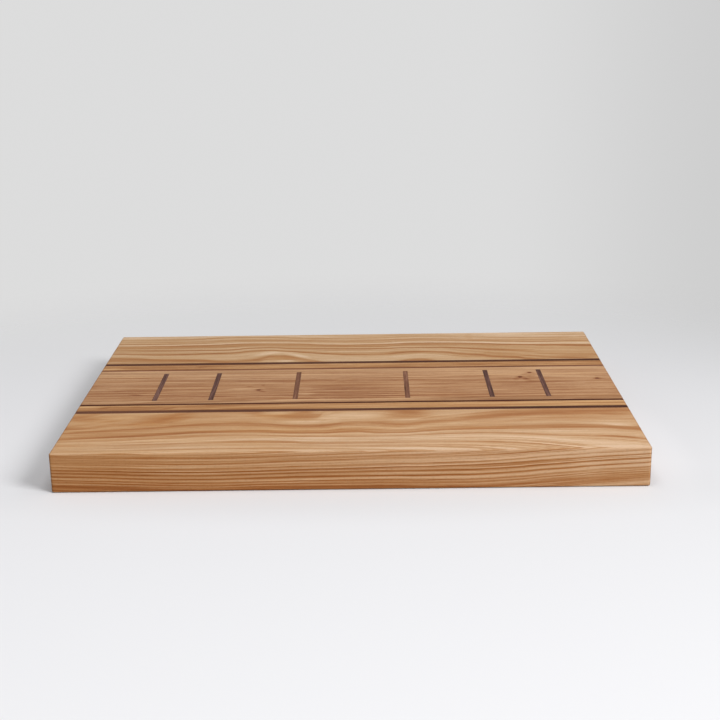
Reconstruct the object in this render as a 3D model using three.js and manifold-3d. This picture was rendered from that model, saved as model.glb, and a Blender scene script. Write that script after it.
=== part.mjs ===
// A serving board of eleven long wooden pieces glued edge to edge, with six dark bars let into the
// middle one. Millimetres: +X runs along the grain, +Y to the back and +Z up. The origin is the
// middle of the underside, and everything is alike in front of and behind the middle line.

import * as THREE from 'three';
import { mergeVertices } from 'three/addons/utils/BufferGeometryUtils.js';
import Module from 'manifold-3d';

const wasm = await Module();
wasm.setup();

// Size of the finished board
const boardLength = 450;
const boardThickness = 31;

// Widths of the long pieces, from the outside in
const outerPlankWidth = 91.5;
const outerDarkStripWidth = 6;
const lightStripWidth = 13;
const innerDarkStripWidth = 3.6;
const edgingStripWidth = 8.2;
const centrePlankWidth = 75;

// Room for the glue between two neighbours
const glueLine = 0.1;

// Eased edges: the round along every top and bottom edge, and the corners of the flat faces inside it
const arrisRadius = 1.2;
const faceCornerRadius = 0.8;
const arrisFacets = 4;
const cornerFacets = 5;

// Dark bars across the middle plank. Their places are counted in equal steps from the middle of the
// board, and the last one on each side sits at the end margin.
const barWidth = 4;
const barDepth = 6;
const barEndMargin = 60.5;
const barSteps = [2, 5, 7];

// How far a cutting shape runs past what it cuts
const cutSpare = 5;

// Colours of the woods
const paleWood = 0xbf976a;
const goldenWood = 0xb68a5e;
const pinkWood = 0xb08967;
const middleWood = 0xae8260;
const darkWood = 0x5f3d33;
const barWood = 0x69473f;
const oiledRoughness = 0.5;

// The long pieces on one side of the middle plank, from the inside out
const sidePieces = [
  { name: 'edging_strip', width: edgingStripWidth, colour: pinkWood },
  { name: 'inner_dark_strip', width: innerDarkStripWidth, colour: darkWood },
  { name: 'light_strip', width: lightStripWidth, colour: goldenWood },
  { name: 'outer_dark_strip', width: outerDarkStripWidth, colour: darkWood },
  { name: 'plank', width: outerPlankWidth, colour: paleWood },
];
const sides = [
  { name: 'front', direction: -1 },
  { name: 'back', direction: 1 },
];
const sideWidth = sidePieces.reduce((sum, piece) => sum + glueLine + piece.width, 0);
const boardWidth = centrePlankWidth + 2 * sideWidth;

function solidFrom(geometry) {
  const bare = geometry.index ? geometry.toNonIndexed() : geometry.clone();
  bare.deleteAttribute('normal');
  bare.deleteAttribute('uv');
  const merged = mergeVertices(bare);
  const mesh = new wasm.Mesh({
    numProp: 3,
    vertProperties: new Float32Array(merged.attributes.position.array),
    triVerts: new Uint32Array(merged.index.array),
  });
  return new wasm.Manifold(mesh);
}

function geometryFrom(solid) {
  const mesh = solid.getMesh();
  const geometry = new THREE.BufferGeometry();
  geometry.setAttribute('position', new THREE.BufferAttribute(mesh.vertProperties, mesh.numProp));
  geometry.setIndex(new THREE.BufferAttribute(mesh.triVerts, 1));
  geometry.computeVertexNormals();
  return geometry;
}

function roundedRectangle(length, width, radius) {
  const x = length / 2;
  const y = width / 2;
  const quarter = Math.PI / 2;
  const shape = new THREE.Shape();
  shape.absarc(x - radius, y - radius, radius, 0, quarter);
  shape.absarc(-x + radius, y - radius, radius, quarter, 2 * quarter);
  shape.absarc(-x + radius, -y + radius, radius, 2 * quarter, 3 * quarter);
  shape.absarc(x - radius, -y + radius, radius, 3 * quarter, 4 * quarter);
  return shape;
}

// The whole board as one rounded slab, before it is divided into its pieces
function boardBlank() {
  const faceLength = boardLength - 2 * arrisRadius;
  const faceWidth = boardWidth - 2 * arrisRadius;
  const face = roundedRectangle(faceLength, faceWidth, faceCornerRadius);
  const geometry = new THREE.ExtrudeGeometry(face, {
    depth: boardThickness - 2 * arrisRadius,
    curveSegments: cornerFacets,
    bevelEnabled: true,
    bevelThickness: arrisRadius,
    bevelSize: arrisRadius,
    bevelSegments: arrisFacets,
  });
  geometry.translate(0, 0, arrisRadius);
  return solidFrom(geometry);
}

// A slab of the blank between two lines across the board
function sliceOf(blank, fromY, toY) {
  const cutter = new THREE.BoxGeometry(
    boardLength + 2 * cutSpare,
    Math.abs(toY - fromY),
    boardThickness + 2 * cutSpare,
  );
  cutter.translate(0, (fromY + toY) / 2, boardThickness / 2);
  return blank.intersect(solidFrom(cutter));
}

function woodenMesh(name, geometry, colour) {
  const material = new THREE.MeshStandardMaterial({
    color: colour,
    roughness: oiledRoughness,
    metalness: 0,
  });
  const mesh = new THREE.Mesh(geometry, material);
  mesh.name = name;
  return mesh;
}

// One long piece, drawn about its own middle line and then set in its place
function longPiece(name, solid, middleY, colour) {
  const geometry = geometryFrom(solid);
  geometry.translate(0, -middleY, 0);
  const mesh = woodenMesh(name, geometry, colour);
  mesh.position.y = middleY;
  return mesh;
}

function sideMeshes(blank, side) {
  const meshes = [];
  let inner = centrePlankWidth / 2;
  for (const piece of sidePieces) {
    inner += glueLine;
    const outer = inner + piece.width;
    const isOutermost = piece === sidePieces.at(-1);
    const cutTo = isOutermost ? outer + cutSpare : outer;
    const solid = sliceOf(blank, side.direction * inner, side.direction * cutTo);
    const middleY = (side.direction * (inner + outer)) / 2;
    meshes.push(longPiece(`${side.name}_${piece.name}`, solid, middleY, piece.colour));
    inner = outer;
  }
  return meshes;
}

function barPlaces() {
  const step = (boardLength / 2 - barEndMargin) / barSteps.at(-1);
  const right = barSteps.map((count) => count * step);
  const left = right.map((x) => -x).reverse();
  return [...left, ...right];
}

// A groove that runs right across the middle plank and leaves a glue line round its bar
function grooveCutter(x) {
  const depth = barDepth + glueLine;
  const cutter = new THREE.BoxGeometry(
    barWidth + 2 * glueLine,
    centrePlankWidth + 2 * cutSpare,
    depth + cutSpare,
  );
  cutter.translate(x, 0, boardThickness - depth + (depth + cutSpare) / 2);
  return solidFrom(cutter);
}

function centrePlank(blank) {
  let solid = sliceOf(blank, -centrePlankWidth / 2, centrePlankWidth / 2);
  for (const x of barPlaces()) {
    solid = solid.subtract(grooveCutter(x));
  }
  return longPiece('centre_plank', solid, 0, middleWood);
}

function inlayBars() {
  return barPlaces().map((x, index) => {
    const geometry = new THREE.BoxGeometry(barWidth, centrePlankWidth, barDepth);
    const mesh = woodenMesh(`inlay_bar_${index + 1}`, geometry, barWood);
    mesh.position.set(x, 0, boardThickness - barDepth / 2);
    return mesh;
  });
}

const blank = boardBlank();
const board = new THREE.Group();
board.add(centrePlank(blank));
for (const side of sides) {
  board.add(...sideMeshes(blank, side));
}
board.add(...inlayBars());

export default board;
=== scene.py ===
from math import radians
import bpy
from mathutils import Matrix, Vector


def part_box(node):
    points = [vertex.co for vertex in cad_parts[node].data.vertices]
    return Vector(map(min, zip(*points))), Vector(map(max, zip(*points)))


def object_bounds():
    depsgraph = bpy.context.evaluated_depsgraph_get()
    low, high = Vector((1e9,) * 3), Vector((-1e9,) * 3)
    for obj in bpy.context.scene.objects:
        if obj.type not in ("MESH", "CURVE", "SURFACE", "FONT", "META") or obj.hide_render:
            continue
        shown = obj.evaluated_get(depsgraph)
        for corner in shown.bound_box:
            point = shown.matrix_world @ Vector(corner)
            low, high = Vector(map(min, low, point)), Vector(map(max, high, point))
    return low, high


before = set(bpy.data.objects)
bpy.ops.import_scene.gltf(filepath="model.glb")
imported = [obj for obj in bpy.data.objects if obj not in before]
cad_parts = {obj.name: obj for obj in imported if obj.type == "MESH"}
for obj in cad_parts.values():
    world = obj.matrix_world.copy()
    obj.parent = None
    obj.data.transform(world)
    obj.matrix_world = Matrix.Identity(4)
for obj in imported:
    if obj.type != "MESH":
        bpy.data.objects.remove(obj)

# Wood, light and camera for a laminated serving board. The frame is in metres. The figure of the wood
# is drawn in millimetres, as growth that runs through the solid, so that the top, the edges, the ends
# and the underside all show the same grain.

from types import SimpleNamespace
from typing import NamedTuple

import bmesh
import bpy
from mathutils import Matrix, Vector

cad_low, cad_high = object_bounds()

# The board, in millimetres
MM_PER_METRE = 1000
BOARD_LENGTH = (cad_high.x - cad_low.x) * MM_PER_METRE
BOARD_WIDTH = (cad_high.y - cad_low.y) * MM_PER_METRE
BOARD_TOP = cad_high.z * MM_PER_METRE
GLUE_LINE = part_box("back_plank")[0].y * MM_PER_METRE

# Camera: its place in metres, and how far it looks down, looks to the right and rolls over, in degrees.
# Without any turn it looks straight down.
LENS = 65.98
SENSOR = 36
CAMERA_PLACE = (0.0149, -1.0807, 0.3799)
CAMERA_DOWN = 16.83
CAMERA_RIGHT = -0.40
CAMERA_ROLL = -0.81
STRAIGHT_DOWN = 90

# Light: a soft lamp from the front right, a wide one overhead, and an even room. Each lamp has its
# place in metres, its size and its watts, and looks at the middle of the underside.
KEY_PLACE = (1.50, -1.15, 1.45)
LAMPS = [
    ("key", KEY_PLACE, 0.9, 41),
    ("overhead", (0.0, -0.45, 2.4), 1.6, 26),
]
ROOM_LIGHT = 0.24
WHITE = (1, 1, 1, 1)

# The wall that is seen behind the board: its brightness, and how it darkens to the right
BACKDROP = 0.72
BACKDROP_SHADE = ((0.08, 0.28), (1.0, 0.86))

# Floor, in metres: a disc that fades into the wall at a distance from its middle
FLOOR_RADIUS = 2.2
FLOOR_SIDES = 96
FLOOR_DROP = 0.0002
FLOOR_MIDDLE = (0, -0.45, 0)
FLOOR_FADE = (0.56, 1.02)

# The floor's colour as it is seen, and as it lights the board. The seen one has painted light: it grows
# paler to the left and to the front, up to a palest shade. It has painted shade far in front and below
# the key lamp, and soft marks of painted contact shadow and painted light that are written like the ones
# in the wood.
FLOOR_PALE = (0.738, 0.738, 0.755)
FLOOR_BOUNCE = (0.66, 0.66, 0.66)
FLOOR_PAINTED_LIGHT_SLOPE = (-0.24, -0.14)
FLOOR_PALEST = 1.2
FAR_FLOOR_PAINTED_SHADE = ((-1.2, -0.5), (0.70, 1.0))
LAMP_FOOT = (KEY_PLACE[0], KEY_PLACE[1], 0)
UNDER_LAMP_PAINTED_SHADE = ((0.4, 1.45), (0.45, 1.0))
# Painted shadow along the front of the board and at its left foot, and a painted patch of light by its
# right end
FLOOR_PAINTED_SHADOWS_AND_LIGHT = [
    (0, -0.16, 0.38, 0.075, 0, -0.07),
    (0.245, -0.08, 0.035, 0.13, 0, 0.045),
    (-0.238, -0.13, 0.022, 0.05, 0, -0.05),
]


class Grain(NamedTuple):
    """Noise drawn out along the grain: its lengths along and across the grain, and the swing it gives."""

    length: float
    width: float
    swing: float = 0.0
    detail: float = 2.0
    roughness: float = 0.5

    def scaled(self, length, width, swing):
        """The same noise with its lengths and its swing multiplied."""
        return self._replace(
            length=self.length * length, width=self.width * width, swing=self.swing * swing,
        )


# Growth lines of the two outer planks. Each has its distance outward from the first line along the
# tree's radius, and its course on the top: places along the board, each with the distance there from
# the plank's glue line.
FRONT_GROWTH = [
    (0.0, [
        (-225, 38), (-206, 35), (-188, 29), (-172, 25), (-157, 19), (-147, 14), (-139, 6), (-130, 1),
        (-115, -4), (-100, -4), (-83, 0), (-77, 3), (-70, 6), (-60, 9), (-45, 13), (-34, 14),
        (-27, 12), (-22, 0), (0, -8), (24, -6), (30, -3), (38, 0), (46, 2), (55, 0), (62, -3),
        (67, -6), (75, -9), (225, -40),
    ]),
    (3.2, [
        (-225, 47), (-196, 42), (-153, 36), (-124, 31), (-96, 30), (-67, 32), (-53, 35.5), (-38, 37),
        (-24, 37), (-12, 34), (0, 30.5), (14, 31), (29, 34), (40, 35.5), (50, 34), (60, 30),
        (86, 25), (109, 19), (132, 12.5), (158, 7.5), (201, 6), (225, 5),
    ]),
    (5.9, [
        (-225, 62), (-203, 59.6), (-168, 55.7), (-139, 52), (-110, 48.4), (-81, 48), (-38, 51.7),
        (-24, 51.7), (0, 50), (14, 52), (29, 53.4), (57, 50.6), (86, 47), (122, 45.6), (187, 45.8),
        (208, 49), (225, 53),
    ]),
    (8.4, [
        (-225, 67), (-182, 64), (-132, 59), (-103, 55.7), (-89, 55.7), (-38, 59), (19, 61), (57, 58),
        (101, 55.7), (122, 57), (165, 63), (201, 66), (225, 72),
    ]),
    (12.1, [
        (-225, 76.5), (-168, 73), (-110, 71), (-74, 69), (-45, 71), (-31, 73.6), (0, 74.5), (65, 73),
        (108, 75), (136, 80), (165, 89), (180, 95), (225, 113),
    ]),
    (14.4, [
        (-225, 83), (-168, 80), (-110, 77.5), (-60, 78), (-38, 81), (29, 82.5), (79, 85), (108, 90),
        (130, 96), (225, 128),
    ]),
    (16.8, [
        (-225, 86), (-153, 85), (-67, 85), (0, 88), (29, 90.5), (50, 92.6), (80, 99), (225, 140),
    ]),
    (20.0, [
        (-225, 93), (-189, 92), (-110, 89), (-60, 91), (0, 95), (50, 103), (225, 150),
    ]),
]
BACK_GROWTH = [
    (0.0, [
        (-225, 19), (-203, 17.7), (-175, 13), (-139, 11), (-117, 5.4), (-96, 7.6), (-88, 11.5),
        (-80, 17.5), (-70, 22), (-60, 19), (-50, 12.5), (-40, 6), (-32, 1), (-25, -4), (0, -8),
        (35, -5), (43, -2), (55, 3), (62, 4), (69, 2), (79, -3), (95, -7), (225, -25),
    ]),
    (3.2, [
        (-225, 33), (-168, 28.6), (-139, 30), (-110, 33), (-96, 38), (-81, 39.5), (-67, 37), (-45, 32),
        (0, 24), (26, 23.6), (43, 27), (57, 29.5), (79, 28), (100, 21), (115, 17.7), (129, 12),
        (151, 7), (160, 1), (225, -12),
    ]),
    (6.0, [
        (-225, 44), (-153, 42), (-124, 42), (-96, 47.4), (-81, 48.5), (-60, 44.6), (0, 41),
        (26, 40.4), (53, 42), (80, 41), (115, 35), (161, 26), (180, 19), (225, 13),
    ]),
    (8.8, [
        (-225, 57.5), (-139, 58.5), (-103, 62.5), (-81, 63), (-24, 56), (14, 54), (43, 57),
        (57, 58.5), (115, 55.5), (144, 51.5), (225, 46),
    ]),
    (11.5, [
        (-225, 65), (-167, 65), (-103, 71), (-47, 66.4), (22, 64.2), (52, 66.6), (108, 64.7),
        (187, 59.7), (225, 60),
    ]),
]

# How steeply the radius rises past the last line, and falls inside the first one, for each millimetre
# across the top
BEYOND_LAST = 0.42
FRONT_HEART = [
    (-225, 0.10), (-150, 0.06), (-100, 0.10), (-62, 0.12), (-46, 0.07), (-34, 0.03), (0, 0.02),
    (225, 0.01),
]
BACK_HEART = [(-225, 0.05), (-120, 0.05), (-95, 0.10), (0, 0.10), (30, 0.04), (225, 0.04)]

# How dark or pale the wood is, from 0 to 1, along the tree's radius in millimetres. Each ring starts
# pale, darkens outward and ends at a clear line. Deep inside, the same rings come again. The mean tone
# is the one that a weaker figure falls back to.
FRONT_TONES = [
    (-12, 0.36), (-10.6, 0.44), (-9.6, 0.30), (-8.7, 0.38), (-7.8, 0.14), (-7.3, 0.30), (-6.6, 0.58),
    (-6.0, 0.66), (-5.4, 0.48), (-5.0, 0.40), (-4.5, 0.54), (-4.0, 0.62), (-3.4, 0.48), (-3.0, 0.34),
    (-2.5, 0.58), (-1.9, 0.94), (-1.4, 0.98), (-0.9, 0.74), (-0.45, 0.42), (-0.1, 0.16), (0.05, 0.16),
    (0.45, 0.45), (1.0, 0.76), (1.6, 0.86), (2.3, 0.66), (2.8, 0.34), (3.15, 0.18), (3.35, 0.24),
    (3.7, 0.54), (4.3, 0.76), (4.9, 0.62), (5.5, 0.30), (5.85, 0.14), (6.05, 0.26), (6.3, 0.66),
    (6.8, 0.86), (7.4, 0.86), (8.0, 0.62), (8.4, 0.38), (8.6, 0.52), (8.9, 0.82), (9.6, 0.94),
    (10.4, 0.96), (11.3, 0.82), (11.8, 0.60), (12.1, 0.40), (12.3, 0.60), (12.8, 0.80), (13.6, 0.76),
    (14.2, 0.58), (14.4, 0.50), (14.6, 0.74), (15.2, 0.90), (16.2, 0.80), (16.8, 0.62), (17.0, 0.80),
    (17.6, 0.94), (19.2, 0.88), (20.0, 0.72), (20.3, 0.90), (24, 0.92),
]
BACK_TONES = [
    (-12, 0.45), (-10.5, 0.58), (-9.2, 0.36), (-8.3, 0.54), (-7.2, 0.24), (-6.6, 0.50), (-4.0, 0.64),
    (-2.8, 0.42), (-2.2, 0.74), (-1.5, 0.80), (-1.0, 0.62), (-0.5, 0.42), (0.0, 0.24), (0.15, 0.34),
    (0.5, 0.66), (0.9, 0.80), (1.8, 0.80), (2.4, 0.64), (2.9, 0.34), (3.2, 0.20), (3.35, 0.32),
    (3.7, 0.58), (4.2, 0.64), (5.0, 0.60), (5.6, 0.48), (6.0, 0.26), (6.2, 0.44), (6.6, 0.56),
    (7.4, 0.50), (8.2, 0.40), (8.7, 0.22), (8.85, 0.32), (9.1, 0.80), (9.5, 0.96), (10.0, 0.86),
    (10.8, 0.60), (11.4, 0.42), (11.7, 0.56), (12.5, 0.62), (13.6, 0.58), (14.2, 0.46), (14.5, 0.64),
    (16.0, 0.72), (17.2, 0.60), (17.6, 0.76), (20.0, 0.84), (20.4, 0.70), (21.0, 0.88), (24, 0.88),
]
DEEP_REPEAT = (-12, 12)
MEAN_TONE = 0.55

# How thick the growth is at each place along the board, against its usual thickness
FRONT_THICKNESS = [
    (-225, 0.93), (-182, 0.97), (-110, 1.0), (-45, 1.02), (0, 1.07), (72, 1.2), (115, 1.25),
    (144, 1.24), (187, 1.19), (225, 1.16),
]
BACK_THICKNESS = [(-225, 1.05), (0, 1.0), (225, 1.1)]

# How far below the top the growth starts to fall away
FRONT_SKIN = [
    (-225, 0.3), (-195, 0.55), (-37, 0.4), (40, 1.0), (65, 1.1), (125, 0.85), (155, 0.1), (225, 0.0),
]
BACK_SKIN = 0.5

# How strong the planks' figure is, and the fine lines in it, by distance from the glue line. The lively
# curves then give the strength along the board.
FRONT_STRENGTH = [(0, 0.48), (20, 0.52), (30, 0.64), (60, 0.66), (75, 0.88), (92, 1.0)]
BACK_STRENGTH = [(0, 0.80), (22, 0.90), (34, 1.10), (60, 1.12), (75, 1.0), (92, 0.98)]
FINE_STRENGTH = [(0, 0.55), (50, 0.60), (70, 0.95), (92, 1.0)]
FRONT_LIVELY = [(-225, 0.72), (-75, 0.80), (0, 0.95), (225, 1.05)]
BACK_LIVELY = [(-225, 0.82), (0, 0.88), (225, 0.97)]

# The planks' long edge faces hold more oil, most of all at the left, and carry painted shade at the left
# and painted light at
# the right: how much their tone changes, partly from oil and partly as painted shade and light, and how
# red they are
EDGE_OIL_AND_PAINTED_LIGHT = [(-225, -0.14), (0, -0.06), (225, 0.10)]
EDGE_REDNESS = [(-225, 0.72), (0, 0.72), (225, 0.45)]

# How warm the wood's colour is, from 0 to 1, along the planks and anywhere else
FRONT_WARMTH = [(-225, 0.54), (-60, 0.34), (60, 0.13), (225, 0.05)]
BACK_WARMTH = [(-225, 0.13), (0, 0.12), (225, 0.04)]
EVEN_WARMTH = 0.2

# Grain of the planks: the bends and the wobble of their growth lines, and the fine lines between them
SLOW_BEND = Grain(110, 30, 1.6)
QUICK_BEND = Grain(30, 5, 0.7, detail=3.0)
RING_WOBBLE = Grain(14, 1.0, 0.20)
LONG_LINES = Grain(300, 0.9, 0.42, detail=3.0, roughness=0.6)
SHORT_LINES = Grain(90, 0.35, 0.40, roughness=0.6)
DARK_HAIRS = Grain(240, 0.8, -0.32, detail=1.0)
PALE_HAIRS = Grain(200, 0.7, 0.28, detail=1.0)

# Straight grain: how its lines wander and how ragged they are, how deep they and their ragged edges go,
# and how far they lean over on the way down
WANDER = Grain(90, 14, 1.4)
RAGGED = Grain(9, 1.6, 1.0)
RING_DEPTH = 45
RAGGED_DEPTH = 14
RING_LEAN = 0.35

# Lines of straight grain. They are multiplied by the reach, the spacing and the contrast of each wood,
# whose usual values follow, and then the ones of the middle plank, the dark strips and the bars.
BANDS = Grain(1.0, 2.2, 1.0)
LINES = Grain(0.6, 1.0, 1.0, detail=3.0, roughness=0.6)
DARK_STREAKS = Grain(0.8, 0.9, -0.5, detail=1.0)
PALE_STREAKS = Grain(0.6, 0.8, 0.5, detail=1.0)
LINE_REACH = 130
LINE_SPACING = 2.4
LINE_CONTRAST = 0.40
CENTRE_LINES = {"reach": 200, "spacing": 2.2, "contrast": 0.44}
DARK_STRIP_LINES = {"spacing": 1.6}
BAR_LINES = {"reach": 40, "spacing": 1.2}

# Surface of every wood: its fibres, and how the oil clouds its tone and its tint
COARSE_GRAIN = Grain(110, 2.2, 0.34, detail=4.0, roughness=0.6)
FINE_GRAIN = Grain(16, 0.35, 0.30, detail=3.0, roughness=0.65)
CLOUDS = Grain(130, 26, 0.16)
TINT_DRIFT = Grain(90, 9, 0.4)

# The noise of the pores, the heights of noise between which a pore opens, and those between which a
# separate thin line starts to show
PORES = Grain(3.2, 0.16, detail=1.0)
PORE_LIMITS = (0.60, 0.70)
HAIRLINE_LIMITS = (0.54, 0.64)

# How far a face has to look along an axis to count as an end or an edge face, and what share of a soft
# spot's size is whole
FACING_LIMITS = (0.6, 0.9)
SPOT_CORE = 0.25

# Wear along the eased edges: its width in millimetres, and how much stronger it is at the two ends
ARRIS = 1.6
END_WEAR = 2.0

# Shares of the pores', the soaked ends' and the worn edges' colours
PORE_SHARE = 0.30
SOAKED_SHARE = 0.8
WORN_SHARE = 0.28

# Relief: its strength, its depth in metres, and the shares of fine grain, coarse grain and pores in it
RELIEF_STRENGTH = 0.25
RELIEF_DEPTH = 0.00012
FINE_RELIEF = 0.7
COARSE_RELIEF = 0.3
PORE_RELIEF = -0.8

# Roughness: its usual value, and what clouds, fine grain and ends add to it. Then the gloss of pale and
# of dark wood.
DULL = 0.48
CLOUD_DULL = 0.05
FINE_DULL = 0.12
END_DULL = 0.10
LIGHT_GLOSS = 0.06
DARK_GLOSS = 0.02

# Marks in the wood: place along and across the board, half length, half width, turn in degrees, and
# how much paler or darker the wood is there
FRONT_MARKS = [
    (-62, -74, 17, 6.0, 0, 0.28), (-40, -84, 20, 6.0, 0, -0.04), (-24, -72, 13, 6.0, 0, 0.27),
    (-143, -87, 27, 8.0, 26, -0.22), (-186, -94, 36, 8.0, 15, 0.25), (-214, -83, 22, 9.0, 5, -0.20),
    (150, -84, 85, 18, 0, -0.12), (46, -81, 28, 12, 0, -0.28), (-2, -86, 36, 20, 0, 0.20),
    (-112, -80, 26, 8.0, 0, -0.09), (-105, -91, 36, 5.0, 3, 0.13), (150, -115, 80, 16, 0, 0.07),
    (82, -86, 26, 4.5, 14, 0.12), (120, -75, 28, 5.0, 8, -0.14), (212, -85, 24, 4.5, -4, -0.20),
    (140, -102, 50, 6.0, 4, 0.14), (202, -107.5, 36, 5.0, -6, 0.24), (40, -133.5, 70, 3.4, -1, 0.15),
    (-50, -131, 60, 3.2, 0, 0.13), (-130, -154, 100, 4.5, 0, 0.16), (-200, -148, 36, 8.0, 0, 0.10),
    (150, -152.5, 48, 6.0, -12, 0.22), (185, -157, 34, 3.2, 0, 0.24), (82, -157.5, 40, 2.7, 0, -0.14),
    (-38, -95, 24, 5.0, 0, 0.16), (-140, -98, 28, 3.5, 10, 0.13), (-4, -101, 13, 3.0, 0, -0.16),
    (105, -97, 32, 3.0, 13, -0.15), (-160, -146, 120, 16, 0, -0.05), (-160, -113, 110, 26, 0, -0.09),
    (212, -111, 20, 4.0, -14, 0.24), (202, -135.5, 26, 2.6, -12, -0.20), (-22, -133, 26, 4.0, 0, 0.11),
    (-110, -141, 45, 2.2, 1, 0.11), (-212, -101, 16, 4.0, 10, 0.15), (-180, -82, 17, 8.0, 0, 0.12),
]
BACK_MARKS = [
    (-68, 77, 19, 7.0, 0, -0.11), (-178, 79, 62, 5.5, -5, -0.06), (165, 74, 60, 5.0, 0, -0.10),
    (58, 72, 26, 7.0, 0, -0.04), (120, 84, 70, 14, 0, -0.06), (-82, 95, 18, 5.0, 25, 0.20),
    (-52, 91, 18, 5.0, -30, 0.17), (-70, 91, 11, 4.0, 0, 0.20), (-46, 85, 15, 5.0, -40, 0.16),
    (-135, 99, 46, 4.0, 2, -0.16), (-160, 107, 58, 2.6, 0, 0.16), (-160, 123.5, 65, 2.6, 0, -0.14),
    (48, 97, 26, 14, 0, -0.10), (135, 86, 44, 3.6, -14, -0.18), (205, 76, 32, 6.0, -5, -0.24),
    (155, 127, 48, 3.0, -2, 0.20), (112, 147, 7, 12, 0, -0.08), (-214, 70, 20, 3.0, 0, -0.16),
    (190, 71, 40, 3.5, 0, -0.22), (10, 140, 60, 5.0, 0, 0.09), (-75, 131, 52, 2.4, -2, 0.22),
    (-165, 95, 60, 3.0, 2, -0.13), (-165, 73, 42, 3.0, -3, 0.14), (-25, 91, 20, 3.0, -12, 0.15),
    (165, 91, 52, 3.0, -8, 0.13), (-62, 72.5, 11, 4.0, 0, 0.22), (-76, 100, 14, 5.0, 0, 0.12),
    (-86, 74, 7, 4.0, 0, -0.16),
]
CENTRE_MARKS = [
    (10, -12, 52, 30, 0, -0.07), (150, 27, 100, 13, 0, 0.16), (208, -4, 32, 40, 0, 0.10),
    (-132, 15, 104, 3.4, -1.8, -0.12), (-140, 24, 26, 1.7, 0, 0.16), (-138, 11, 22, 1.5, 0, 0.16),
    (-116, -19, 28, 1.4, 0, -0.20), (-183, -21.5, 9, 2.3, -8, -0.34), (-90, -8.5, 22, 4.0, 4, 0.30),
    (62, 15, 44, 1.5, 0, 0.20), (106, 20.5, 32, 1.4, 0, -0.22), (137, -21, 94, 1.6, -2, 0.24),
    (78, -11, 40, 4.0, 0, -0.10), (12, -10.5, 34, 2.2, 0, -0.14), (20, -26, 36, 2.4, 0, -0.14),
    (85, -33, 30, 1.6, 0, -0.16), (-60, 10, 46, 2.4, -2, -0.14), (155, 21, 12, 7.0, 0, -0.12),
    (142.5, 10.5, 4.0, 7.0, -22, -0.14), (151.5, 9.5, 4.4, 6.0, 40, -0.20), (156, 4.5, 9, 2.6, 0, -0.22),
    (-76, -16, 5.0, 2.0, -30, -0.28), (-88, -2, 4.0, 1.8, 0, -0.26), (-76, 1, 2.4, 1.8, 0, -0.28),
    (-82, -36.5, 34, 6.0, 0, -0.34), (0, -36, 58, 7.0, 0, -0.24), (-82, -27, 34, 4.0, 0, 0.18),
    (-84, 29, 32, 4.0, 0, -0.13), (-50, -5, 26, 7.0, 0, 0.12), (75, 19, 42, 6.0, 0, 0.13),
    (100, 13.5, 42, 3.5, 0, 0.26), (84, 0, 40, 9.0, 0, -0.12), (82, -17, 36, 2.6, 0, -0.12),
    (82, -27, 36, 3.0, 0, -0.13), (10, 14, 54, 3.4, 0, 0.16), (0, 7, 50, 3.0, 0, -0.10),
    (-48, -37, 32, 5.0, 0, -0.36), (-38, -9, 13, 4.0, 0, 0.22), (-40, -24, 12, 8.0, 0, 0.20),
    (-165, 16, 60, 7.0, 0, -0.11), (165, -14, 60, 8.0, 0, -0.08), (-207, 0, 22, 7.0, 0, 0.14),
    (90, 7, 36, 2.6, 0, -0.14), (161, 24, 6.0, 2.4, -35, -0.22), (151, 23, 6.0, 2.4, 30, -0.16),
    (150.5, 12.5, 4.0, 2.4, -40, -0.22), (217, 8.5, 5.0, 1.8, -15, -0.20), (157, 19, 7.0, 6.0, 0, -0.14),
    (195, 16, 32, 2.5, 0, 0.14), (60, 20, 20, 4.0, 0, 0.10),
]
FRONT_LIGHT_MARKS = [
    (-217, -51.5, 12, 2.6, 3, 0.60), (-203, -55, 9, 3.5, 28, -0.28), (-176, -57, 30, 5, 0, -0.14),
    (-150, -58, 10, 2.2, 18, -0.34), (-112, -59, 24, 1.6, 7, 0.26), (-86, -56, 26, 1.4, 6, 0.24),
    (-46, -53, 28, 1.4, 5, 0.18), (-120, -53, 32, 1.8, 3, -0.18), (-20, -60, 40, 1.6, 3, -0.12),
]
BACK_LIGHT_MARKS = [
    (-214, 55, 10, 1.8, 0, 0.28), (-150, 55.5, 20, 1.6, 0, 0.24), (-195, 53, 22, 2.4, 0, -0.24),
    (-135, 58, 26, 1.6, 0, -0.24), (43, 57, 26, 1.7, 0, -0.24), (108, 54, 26, 2.6, 0, -0.18),
]
FRONT_EDGING_MARKS = [
    (-205, -39.5, 28, 2.2, 0, 0.22), (-84, -38.4, 38, 2.6, 0, -0.46), (86, -38.6, 30, 2.0, 0, -0.42),
    (-82, -43.5, 36, 2.4, 0, 0.20), (128, -43, 22, 2.6, 0, -0.16), (206, -39.4, 28, 2.2, 0, 0.14),
    (20, -40, 50, 2.0, 0, 0.10),
]
BACK_EDGING_MARKS = [
    (-150, 41, 40, 2.0, 0, -0.12), (180, 42, 40, 2.0, 0, 0.12), (-60, 44, 40, 1.5, 0, 0.10),
]

# Golden places, written like marks, with how much warmer the wood is there
FRONT_GOLD = [
    (-60, -79, 30, 11, 0, 0.50), (-150, -86, 34, 13, 26, 0.55), (-40, -113, 130, 8.0, 0, 0.40),
    (105, -113, 45, 6.0, 0, 0.40), (-20, -134, 120, 6.0, 0, -0.45), (-196, -84, 38, 13, 8, 0.40),
    (-155, -146, 85, 13, 0, -0.35), (0, -146, 80, 13, 0, -0.20),
]
BACK_GOLD = [(-65, 82, 20, 10, 0, 0.45), (-160, 78, 62, 8.0, -5, 0.30)]

# A calm place on the front face: along the board and up the face, and then as in a mark, with how much
# weaker the figure is there
FRONT_CALM = [(190, 7, 120, 15, 0, -0.42)]

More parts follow.
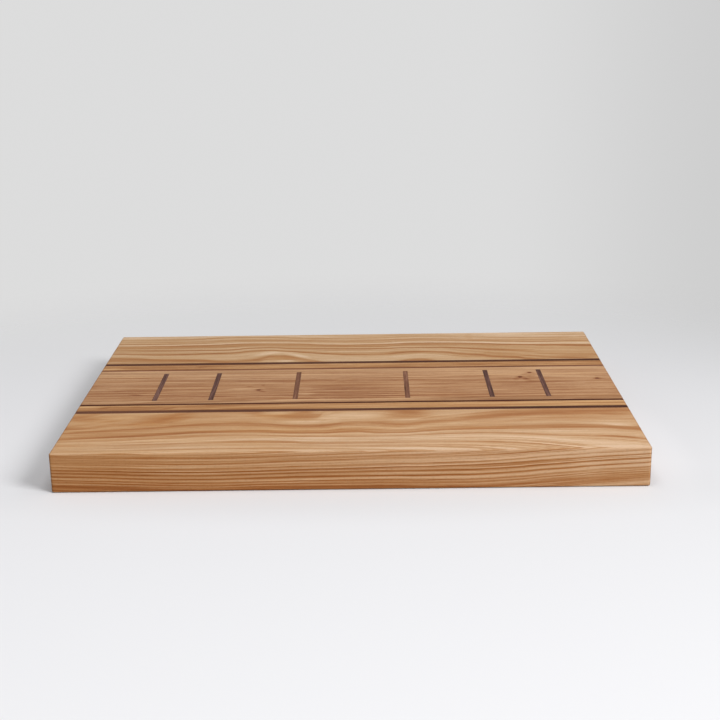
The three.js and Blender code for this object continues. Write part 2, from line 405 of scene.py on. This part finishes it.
# Knots: place along and across the board, radius and darkness. The grain parts before a knot and closes
# again behind it. The core, the soft shade round it, the paler heart in it and the reach of the bent
# grain go by the radius. The push is the share by which the grain gives way.
CENTRE_KNOTS = [
    (156, 28.5, 1.8, -1.1), (146.5, 16, 1.9, -0.80), (212.5, 10, 1.9, -0.74), (-79.5, -12, 1.8, -0.66),
]
KNOT_CORE = (1.4, 1.5)
KNOT_SHADE = (3.2, 2.4)
KNOT_SHADE_TONE = -0.24
KNOT_HEART = (0.7, 0.7)
KNOT_HEART_TONE = 0.22
KNOT_REACH = (7.0, 3.6)
KNOT_PUSH = 0.7

# Tone of the straight-grained pieces along the board, and of the middle plank across it. The last three
# are for the dark strips.
CENTRE_ALONG = [(-225, 0.13), (-150, 0.11), (-75, 0.16), (0, 0.09), (130, 0.08), (225, 0.11)]
CENTRE_ACROSS = [
    (-37.5, 0.42), (-28, 0.40), (-14, 0.43), (0, 0.46), (8, 0.44), (18, 0.53), (28, 0.60), (37.5, 0.64),
]
FRONT_LIGHT_ALONG = [(-225, 0.46), (-150, 0.48), (-60, 0.53), (20, 0.62), (225, 0.65)]
BACK_LIGHT_ALONG = [
    (-225, 0.58), (-150, 0.47), (-100, 0.40), (0, 0.43), (50, 0.47), (150, 0.46), (225, 0.28),
]
FRONT_EDGING_ALONG = [
    (-225, 0.38), (-150, 0.44), (-100, 0.60), (0, 0.66), (50, 0.68), (100, 0.48), (150, 0.27),
    (225, 0.14),
]
BACK_EDGING_ALONG = [(-225, 0.66), (0, 0.74), (225, 0.90)]
EVEN = 0.5
DEEP = [(-225, 0.60), (0, 0.62), (225, 0.46)]
FADING = [(-225, 0.86), (0, 0.61), (225, 0.49)]

# Colours of the woods by tone, from the darkest growth at 0 to the palest at 1, as sRGB
FRONT_WOOD = [
    (0.0, (142, 89, 50)), (0.25, (163, 111, 69)), (0.5, (180, 136, 95)), (0.75, (196, 159, 122)),
    (1.0, (213, 181, 150)),
]
BACK_WOOD = [
    (0.0, (141, 90, 50)), (0.25, (163, 113, 70)), (0.5, (180, 139, 97)), (0.75, (196, 162, 126)),
    (1.0, (213, 184, 154)),
]
MIDDLE_WOOD = [
    (0.0, (104, 54, 32)), (0.12, (129, 76, 46)), (0.25, (142, 93, 60)), (0.5, (162, 117, 81)),
    (1.0, (198, 159, 122)),
]
GOLDEN_WOOD = [(0.0, (137, 86, 47)), (0.5, (172, 126, 83)), (1.0, (202, 161, 116))]
PINK_WOOD = [(0.0, (138, 94, 62)), (0.5, (167, 126, 91)), (1.0, (196, 156, 119))]
DARK_WOOD = [(0.0, (52, 29, 22)), (0.5, (76, 46, 35)), (1.0, (104, 68, 53))]
DARKEST_WOOD = [(0.0, (50, 22, 14)), (0.5, (72, 36, 24)), (1.0, (98, 58, 43))]
RUSSET_WOOD = [(0.0, (87, 50, 34)), (0.5, (123, 79, 57)), (1.0, (155, 110, 82))]
BAR_WOOD = [(0.0, (64, 44, 39)), (0.5, (94, 66, 60)), (1.0, (126, 94, 84))]
RUSSET_BAR_WOOD = [(0.0, (84, 54, 42)), (0.5, (119, 82, 65)), (1.0, (150, 110, 90))]

# Colours and tints that all woods share
PORE_COLOUR = (84, 50, 28)
WARM_TINT = (255, 244, 222)
EDGE_TINT = (255, 239, 223)
WORN_COLOUR = (124, 82, 50)
SOAKED_COLOUR = (158, 118, 86)

# The two outer planks
FRONT_PLANK = SimpleNamespace(
    side=-1, growth=FRONT_GROWTH, heart=FRONT_HEART, tones=FRONT_TONES, thickness=FRONT_THICKNESS,
    skin=FRONT_SKIN, strength=FRONT_STRENGTH, lively=FRONT_LIVELY, warmth=FRONT_WARMTH,
    marks=FRONT_MARKS, gold=FRONT_GOLD, calm=FRONT_CALM, colours=FRONT_WOOD,
)
BACK_PLANK = SimpleNamespace(
    side=1, growth=BACK_GROWTH, heart=BACK_HEART, tones=BACK_TONES, thickness=BACK_THICKNESS,
    skin=BACK_SKIN, strength=BACK_STRENGTH, lively=BACK_LIVELY, warmth=BACK_WARMTH,
    marks=BACK_MARKS, gold=BACK_GOLD, calm=None, colours=BACK_WOOD,
)

# The pale strips: wood, tone, marks and contrast
PALE_STRIPS = {
    "front_light_strip": (GOLDEN_WOOD, FRONT_LIGHT_ALONG, FRONT_LIGHT_MARKS, 0.5),
    "back_light_strip": (GOLDEN_WOOD, BACK_LIGHT_ALONG, BACK_LIGHT_MARKS, 0.6),
    "front_edging_strip": (PINK_WOOD, FRONT_EDGING_ALONG, FRONT_EDGING_MARKS, 0.65),
    "back_edging_strip": (PINK_WOOD, BACK_EDGING_ALONG, BACK_EDGING_MARKS, 0.5),
}

# The dark strips, and the bars from left to right: wood and tone
DARK_STRIPS = {
    "front_outer_dark_strip": (DARK_WOOD, FADING),
    "back_outer_dark_strip": (DARK_WOOD, DEEP),
    "front_inner_dark_strip": (DARKEST_WOOD, EVEN),
    "back_inner_dark_strip": (RUSSET_WOOD, EVEN),
}
BARS = {
    "inlay_bar_1": (BAR_WOOD, 0.62),
    "inlay_bar_2": (BAR_WOOD, 0.48),
    "inlay_bar_3": (RUSSET_BAR_WOOD, 0.36),
    "inlay_bar_4": (RUSSET_BAR_WOOD, 0.43),
    "inlay_bar_5": (BAR_WOOD, 0.48),
    "inlay_bar_6": (BAR_WOOD, 0.44),
}


def linear(colour):
    """Linear red, green, blue and alpha of an sRGB colour written from 0 to 255, by the sRGB formula."""
    parts = []
    for value in colour:
        share = value / 255
        parts.append(share / 12.92 if share <= 0.04045 else ((share + 0.055) / 1.055) ** 2.4)
    return (*parts, 1.0)


class Graph:
    """The node tree of a material or a world in the making, with a short call for each kind of node."""

    def __init__(self, owner):
        owner.use_nodes = True
        self.owner = owner
        self.tree = owner.node_tree
        self.tree.nodes.clear()

    def node(self, kind, inputs=None, **settings):
        made = self.tree.nodes.new("ShaderNode" + kind)
        for name, value in settings.items():
            setattr(made, name, value)
        for key, value in (inputs or {}).items():
            if isinstance(value, bpy.types.NodeSocket):
                self.tree.links.new(value, made.inputs[key])
            else:
                made.inputs[key].default_value = value
        return made

    def math(self, operation, *values):
        return self.node("Math", dict(enumerate(values)), operation=operation).outputs[0]

    def add(self, *values):
        total = values[0]
        for value in values[1:]:
            total = self.math("ADD", total, value)
        return total

    def minus(self, a, b):
        return self.math("SUBTRACT", a, b)

    def times(self, a, b):
        return self.math("MULTIPLY", a, b)

    def vector(self, operation, a, b):
        return self.node("VectorMath", {0: a, 1: b}, operation=operation).outputs[0]

    def length(self, a):
        return self.node("VectorMath", {0: a}, operation="LENGTH").outputs["Value"]

    def parts(self, vector):
        outputs = self.node("SeparateXYZ", {0: vector}).outputs
        return outputs["X"], outputs["Y"], outputs["Z"]

    def joined(self, parts):
        """A vector of the given parts by number, with 0 for the others."""
        return self.node("CombineXYZ", parts).outputs[0]

    def spread(self, value, old, new=(0.0, 1.0), kind="LINEAR"):
        """The value moved from one range to another, and held inside it."""
        inputs = {
            "Value": value,
            "From Min": old[0],
            "From Max": old[1],
            "To Min": new[0],
            "To Max": new[1],
        }
        return self.node("MapRange", inputs, interpolation_type=kind).outputs["Result"]

    def curve(self, value, points):
        """The height at this value of a curve through the given points, or of a level line if it is one
        number.

        The points run from left to right.
        """
        if isinstance(points, float):
            return points
        left, right = points[0][0], points[-1][0]
        low = min(height for _, height in points)
        rise = max(height for _, height in points) - low
        made = self.node("FloatCurve", {"Value": self.spread(value, (left, right))})
        course = made.mapping.curves[0]
        while len(course.points) < len(points):
            course.points.new(0.5, 0.5)
        for point, (place, height) in zip(course.points, points):
            point.location = ((place - left) / (right - left), (height - low) / rise)
            point.handle_type = "AUTO_CLAMPED"
        made.mapping.update()
        return self.math("MULTIPLY_ADD", made.outputs["Value"], rise, low)

    def ramp(self, value, stops):
        made = self.node("ValToRGB", {"Fac": value})
        elements = made.color_ramp.elements
        while len(elements) < len(stops):
            elements.new(0.5)
        for element, (place, colour) in zip(elements, stops):
            element.position = place
            element.color = linear(colour)
        return made.outputs["Color"]

    def grain(self, point, grain, axis="X", depth=None):
        """Smooth noise about 0.5 along the grain, and as deep as it is wide unless a depth is given."""
        depth = depth or grain.width
        along_x = (grain.length, grain.width, depth)
        along_y = (grain.width, grain.length, depth)
        inputs = {
            "Vector": self.vector("DIVIDE", point, along_x if axis == "X" else along_y),
            "Scale": 1.0,
            "Detail": grain.detail,
            "Roughness": grain.roughness,
        }
        return self.node("TexNoise", inputs).outputs["Fac"]

    def swing(self, noise, amount):
        """Noise about 0.5 turned into a swing of up to this amount to both sides."""
        return self.math("MULTIPLY_ADD", noise, 2 * amount, -amount)

    def streaks(self, point, grain, axis="X", depth=None):
        """Noise along the grain, as a swing to both sides of 0."""
        return self.swing(self.grain(point, grain, axis, depth), grain.swing)

    def hairlines(self, point, grain, axis="X", depth=None):
        """Thin separate lines along the grain, where the noise stands above its usual height."""
        noise = self.grain(point, grain, axis, depth)
        return self.spread(noise, HAIRLINE_LIMITS, (0.0, grain.swing), "SMOOTHSTEP")

    def mix(self, share, a, b, blend="MIX"):
        made = self.node("Mix", {"Factor": share}, data_type="RGBA", blend_type=blend)
        for name, value in (("A", a), ("B", b)):
            socket = next(s for s in made.inputs if s.name == name and s.type == "RGBA")
            if isinstance(value, bpy.types.NodeSocket):
                self.tree.links.new(value, socket)
            else:
                socket.default_value = linear(value)
        return next(s for s in made.outputs if s.type == "RGBA")

    def place(self):
        """The point on the board in millimetres."""
        coordinate = self.node("TexCoord").outputs["Object"]
        scale = (MM_PER_METRE, MM_PER_METRE, MM_PER_METRE)
        return self.vector("MULTIPLY", coordinate, scale)

    def spot(self, point, place, size, turn, amount, core=SPOT_CORE):
        """A soft spot of this amount, whole within its core and gone at its size."""
        inputs = {
            "Vector": self.vector("MULTIPLY", point, (1, 1, 0)),
            "Location": (*place, 0),
            "Rotation": (0, 0, radians(turn)),
            "Scale": (*size, 1),
        }
        local = self.node("Mapping", inputs, vector_type="TEXTURE").outputs[0]
        return self.spread(self.length(local), (core, 1.0), (amount, 0.0), "SMOOTHSTEP")

    def marks(self, point, marks):
        """The sum of soft long spots, each of its own amount."""
        spots = []
        for x, y, reach, width, turn, amount in marks:
            spots.append(self.spot(point, (x, y), (reach, width), turn, amount))
        return self.add(*spots)

    def knots(self, point, knots):
        """The tone of knots, and how far the grain across the board is pushed aside round them."""
        tones = []
        pushes = []
        across = self.parts(point)[1]
        for x, y, radius, darkness in knots:
            for (reach, width), amount in (
                (KNOT_CORE, darkness),
                (KNOT_SHADE, KNOT_SHADE_TONE),
                (KNOT_HEART, KNOT_HEART_TONE),
            ):
                tones.append(self.spot(point, (x, y), (reach * radius, width * radius), 0, amount))
            reach, width = KNOT_REACH
            share = self.spot(point, (x, y), (reach * radius, width * radius), 0, KNOT_PUSH, core=0.0)
            pushes.append(self.times(self.minus(y, across), share))
        return self.add(*tones), self.add(*pushes)


def material_graph(name):
    return Graph(bpy.data.materials.new(name))


def facing(graph, axis):
    """1 on a face that looks along this axis, either way, and 0 on one that looks across it."""
    normal = graph.node("NewGeometry").outputs["Normal"]
    part = graph.node("SeparateXYZ", {0: normal}).outputs[axis]
    return graph.spread(graph.math("ABSOLUTE", part), FACING_LIMITS, kind="SMOOTHSTEP")


def arris_wear(graph, point):
    """1 or more on the eased edges of the board, fading to 0 on its flat faces."""
    x, y, z = graph.parts(point)
    rims = []
    for value, middle, half in (
        (x, 0, BOARD_LENGTH / 2),
        (y, 0, BOARD_WIDTH / 2),
        (z, BOARD_TOP / 2, BOARD_TOP / 2),
    ):
        off = graph.math("ABSOLUTE", graph.minus(value, middle))
        rims.append(graph.spread(off, (half - ARRIS, half)))
    sides = graph.math("MAXIMUM", graph.times(rims[0], END_WEAR), rims[1])
    return graph.times(sides, rims[2])


def finished(graph, tone, colours, warmth=EVEN_WARMTH, redness=None, axis="X", gloss=LIGHT_GLOSS):
    """Turns a tone from 0 to 1 into oiled wood with fibres, pores, soaked ends and worn edges."""
    point = graph.place()
    ends = facing(graph, axis)
    coarse = graph.grain(point, COARSE_GRAIN, axis)
    fine = graph.grain(point, FINE_GRAIN, axis)
    cloud = graph.grain(point, CLOUDS, axis)
    tone = graph.add(
        tone,
        graph.swing(coarse, COARSE_GRAIN.swing),
        graph.swing(fine, FINE_GRAIN.swing),
        graph.swing(cloud, CLOUDS.swing),
    )
    colour = graph.ramp(tone, colours)
    warm = graph.add(graph.streaks(point, TINT_DRIFT, axis), warmth)
    colour = graph.mix(graph.math("MAXIMUM", warm, 0.0), colour, WARM_TINT, "MULTIPLY")
    if redness:
        colour = graph.mix(redness, colour, EDGE_TINT, "MULTIPLY")

    pore = graph.spread(graph.grain(point, PORES, axis), PORE_LIMITS, kind="SMOOTHSTEP")
    colour = graph.mix(graph.times(pore, PORE_SHARE), colour, PORE_COLOUR)
    colour = graph.mix(graph.times(ends, SOAKED_SHARE), colour, SOAKED_COLOUR, "MULTIPLY")
    colour = graph.mix(graph.times(arris_wear(graph, point), WORN_SHARE), colour, WORN_COLOUR)

    height = graph.add(
        graph.times(fine, FINE_RELIEF),
        graph.times(coarse, COARSE_RELIEF),
        graph.times(pore, PORE_RELIEF),
    )
    relief = graph.node("Bump", {
        "Strength": RELIEF_STRENGTH,
        "Distance": RELIEF_DEPTH,
        "Height": height,
    })
    dull = graph.add(
        graph.swing(cloud, CLOUD_DULL),
        graph.times(fine, FINE_DULL),
        graph.times(ends, END_DULL),
        DULL,
    )
    shader = graph.node("BsdfPrincipled", {
        "Base Color": colour,
        "Roughness": dull,
        "Normal": relief.outputs["Normal"],
        "Specular IOR Level": gloss,
    })
    graph.node("OutputMaterial", {"Surface": shader.outputs["BSDF"]})
    return graph.owner


def ring_radius(graph, plank, x, outward, depth):
    """How far out a point lies along the tree's radius.

    It rises from line to line across the top, and falls with the depth below it.
    """
    courses = [graph.curve(x, course) for _, course in plank.growth]
    inside = graph.math("MINIMUM", graph.minus(outward, courses[0]), 0.0)
    radius = graph.times(inside, graph.curve(x, plank.heart))
    for (start, _), (stop, _), near, far in zip(plank.growth, plank.growth[1:], courses, courses[1:]):
        radius = graph.add(radius, graph.spread(outward, (near, far), (0.0, stop - start)))
    outside = graph.math("MAXIMUM", graph.minus(outward, courses[-1]), 0.0)
    radius = graph.add(radius, graph.times(outside, BEYOND_LAST))
    return graph.minus(radius, graph.math("DIVIDE", depth, graph.curve(x, plank.thickness)))


def plank_wood(name, plank):
    """Crown-cut wood whose growth lines follow their courses on the top and fall away below it."""
    graph = material_graph(name)
    point = graph.place()
    x, y, z = graph.parts(point)
    slow = graph.streaks(point, SLOW_BEND)
    quick = graph.streaks(point, QUICK_BEND)
    outward = graph.add(graph.times(y, plank.side), -GLUE_LINE, slow, quick)
    depth = graph.minus(graph.minus(BOARD_TOP, z), graph.curve(x, plank.skin))
    radius = ring_radius(graph, plank, x, outward, graph.math("MAXIMUM", depth, 0.0))
    radius = graph.add(radius, graph.streaks(point, RING_WOBBLE))
    deep = graph.math("LESS_THAN", radius, DEEP_REPEAT[0])
    repeated = graph.math("WRAP", radius, DEEP_REPEAT[1], DEEP_REPEAT[0])
    radius = graph.add(radius, graph.times(deep, graph.minus(repeated, radius)))

    layers = graph.joined({0: x, 1: radius})
    fine = graph.add(
        graph.streaks(layers, LONG_LINES),
        graph.streaks(layers, SHORT_LINES),
        graph.hairlines(layers, DARK_HAIRS),
        graph.hairlines(layers, PALE_HAIRS),
    )
    fine = graph.times(fine, graph.curve(outward, FINE_STRENGTH))
    figure = graph.add(graph.curve(radius, plank.tones), fine, -MEAN_TONE)
    figure = graph.times(figure, graph.curve(outward, plank.strength))
    figure = graph.times(figure, graph.curve(x, plank.lively))

    edge = facing(graph, "Y")
    if plank.calm:
        calm = graph.times(edge, graph.marks(graph.joined({0: x, 1: z}), plank.calm))
        figure = graph.times(figure, graph.add(calm, 1.0))
    # The edge faces' tone: partly oil, partly painted shade at the left and painted light at the right
    oil_and_painted_light = graph.times(edge, graph.curve(x, EDGE_OIL_AND_PAINTED_LIGHT))
    tone = graph.add(figure, graph.marks(point, plank.marks), oil_and_painted_light, MEAN_TONE)
    redness = graph.times(edge, graph.curve(x, EDGE_REDNESS))
    warmth = graph.add(graph.curve(x, plank.warmth), graph.marks(point, plank.gold))
    return finished(graph, tone, plank.colours, warmth, redness)


def straight_wood(
    name, colours, along, marks=None, across=None, knots=None,
    reach=LINE_REACH, spacing=LINE_SPACING, contrast=LINE_CONTRAST, axis="X", gloss=LIGHT_GLOSS,
):
    """Straight-grained wood whose tone drifts along the piece, with marks and knots of its own."""
    graph = material_graph(name)
    point = graph.place()
    x, y, z = graph.parts(point)
    run, over = (x, y) if axis == "X" else (y, x)
    wander = graph.streaks(point, WANDER, axis)
    ragged = graph.streaks(point, RAGGED, axis, RAGGED_DEPTH)
    lean = graph.times(graph.minus(BOARD_TOP, z), RING_LEAN)
    offset = graph.joined({0: ragged, 1: graph.add(wander, ragged, lean)})
    place = graph.vector("ADD", point, offset)
    bent = place
    if knots:
        knot_tone, push = graph.knots(place, knots)
        bent = graph.vector("ADD", place, graph.joined({1: push}))

    own = (reach, spacing, contrast)
    tone = graph.add(
        graph.curve(run, along),
        graph.streaks(bent, BANDS.scaled(*own), axis, RING_DEPTH),
        graph.streaks(bent, LINES.scaled(*own), axis, RING_DEPTH),
        graph.hairlines(bent, DARK_STREAKS.scaled(*own), axis, RING_DEPTH),
        graph.hairlines(bent, PALE_STREAKS.scaled(*own), axis, RING_DEPTH),
    )
    if across:
        tone = graph.add(tone, graph.curve(over, across))
    if marks:
        tone = graph.add(tone, graph.marks(place, marks))
    if knots:
        tone = graph.add(tone, knot_tone)
    return finished(graph, tone, colours, axis=axis, gloss=gloss)


def dress(node, make_wood, *details, **settings):
    """Gives a node a wood of its own, made by one of the two functions above."""
    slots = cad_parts[node].data.materials
    slots.clear()
    slots.append(make_wood(node.replace("_", " "), *details, **settings))


def dress_board():
    dress("front_plank", plank_wood, FRONT_PLANK)
    dress("back_plank", plank_wood, BACK_PLANK)
    dress(
        "centre_plank", straight_wood,
        MIDDLE_WOOD, CENTRE_ALONG, CENTRE_MARKS, CENTRE_ACROSS, CENTRE_KNOTS, **CENTRE_LINES,
    )
    for node, (colours, along, marks, contrast) in PALE_STRIPS.items():
        dress(node, straight_wood, colours, along, marks, contrast=contrast)
    for node, (colours, along) in DARK_STRIPS.items():
        dress(node, straight_wood, colours, along, gloss=DARK_GLOSS, **DARK_STRIP_LINES)
    for node, (colours, tone) in BARS.items():
        dress(node, straight_wood, colours, tone, axis="Y", gloss=DARK_GLOSS, **BAR_LINES)


def seen_directly(graph):
    """1 for the rays that show a surface or the room itself, in the picture or in a reflection."""
    path = graph.node("LightPath").outputs
    seen = graph.math("MAXIMUM", path["Is Camera Ray"], path["Is Glossy Ray"])
    return graph.math("MAXIMUM", seen, path["Is Transmission Ray"])


def floor_paint():
    """Pale paint that fades out far away, with painted light and shade. It is seen with more shades than
    it lights the board with.
    """
    graph = material_graph("floor paint")
    coordinate = graph.node("TexCoord").outputs["Object"]
    distance = graph.length(graph.vector("SUBTRACT", coordinate, FLOOR_MIDDLE))
    gone = graph.spread(distance, FLOOR_FADE, kind="SMOOTHSTEP")

    across, back, _ = graph.parts(coordinate)
    # Painted light: the seen paint grows paler to the left and to the front, up to the palest shade
    painted_light_slope = graph.add(graph.times(across, FLOOR_PAINTED_LIGHT_SLOPE[0]), graph.times(back, FLOOR_PAINTED_LIGHT_SLOPE[1]), 1.0)
    shade = graph.math("MINIMUM", painted_light_slope, FLOOR_PALEST)
    # Painted shade far in front and below the key lamp
    shade = graph.times(shade, graph.spread(back, *FAR_FLOOR_PAINTED_SHADE, "SMOOTHSTEP"))
    away = graph.length(graph.vector("SUBTRACT", coordinate, LAMP_FOOT))
    shade = graph.times(shade, graph.spread(away, *UNDER_LAMP_PAINTED_SHADE))
    # Painted contact shadows and a painted patch of light round the board's foot
    shade = graph.times(shade, graph.add(graph.marks(coordinate, FLOOR_PAINTED_SHADOWS_AND_LIGHT), 1.0))
    tinted = graph.node("VectorMath", {0: FLOOR_PALE, "Scale": shade}, operation="SCALE").outputs[0]

    pale = graph.node("BsdfDiffuse", {"Color": tinted}).outputs[0]
    bounce = graph.node("BsdfDiffuse", {"Color": (*FLOOR_BOUNCE, 1.0)}).outputs[0]
    paint = graph.node("MixShader", {0: seen_directly(graph), 1: bounce, 2: pale}).outputs[0]
    clear = graph.node("BsdfTransparent").outputs[0]
    blend = graph.node("MixShader", {0: gone, 1: paint, 2: clear}).outputs[0]
    graph.node("OutputMaterial", {"Surface": blend})
    return graph.owner


def make_floor():
    mesh = bpy.data.meshes.new("floor")
    shape = bmesh.new()
    bmesh.ops.create_circle(shape, cap_ends=True, segments=FLOOR_SIDES, radius=FLOOR_RADIUS)
    shape.to_mesh(mesh)
    shape.free()
    mesh.materials.append(floor_paint())
    floor = bpy.data.objects.new("floor", mesh)
    floor.location.z = cad_low.z - FLOOR_DROP
    bpy.context.scene.collection.objects.link(floor)


def make_light():
    for name, place, size, watts in LAMPS:
        lamp = bpy.data.lights.new(name, "AREA")
        lamp.size = size
        lamp.energy = watts
        holder = bpy.data.objects.new(name, lamp)
        holder.location = place
        holder.rotation_euler = (-Vector(place)).to_track_quat("-Z", "Y").to_euler()
        bpy.context.scene.collection.objects.link(holder)

    graph = Graph(bpy.data.worlds.new("room"))
    direction = graph.node("TexCoord").outputs["Generated"]
    shade = graph.spread(graph.parts(direction)[0], *BACKDROP_SHADE, "SMOOTHSTEP")
    brightness = graph.times(shade, BACKDROP)
    even = graph.node("Background", {"Color": WHITE, "Strength": ROOM_LIGHT}).outputs[0]
    wall = graph.node("Background", {"Color": WHITE, "Strength": brightness}).outputs[0]
    room = graph.node("MixShader", {0: seen_directly(graph), 1: even, 2: wall}).outputs[0]
    graph.node("OutputWorld", {"Surface": room})
    bpy.context.scene.world = graph.owner


def rotation(degrees, axis):
    return Matrix.Rotation(radians(degrees), 4, axis)


def make_camera():
    data = bpy.data.cameras.new("camera")
    data.sensor_width = SENSOR
    data.lens = LENS
    camera = bpy.data.objects.new("camera", data)
    turn = rotation(-CAMERA_RIGHT, "Z")
    tilt = rotation(STRAIGHT_DOWN - CAMERA_DOWN, "X")
    roll = rotation(CAMERA_ROLL, "Z")
    camera.matrix_world = Matrix.Translation(CAMERA_PLACE) @ turn @ tilt @ roll
    bpy.context.scene.collection.objects.link(camera)
    bpy.context.scene.camera = camera


make_camera()
make_floor()
make_light()
dress_board()
bpy.context.scene.view_settings.view_transform = "Standard"
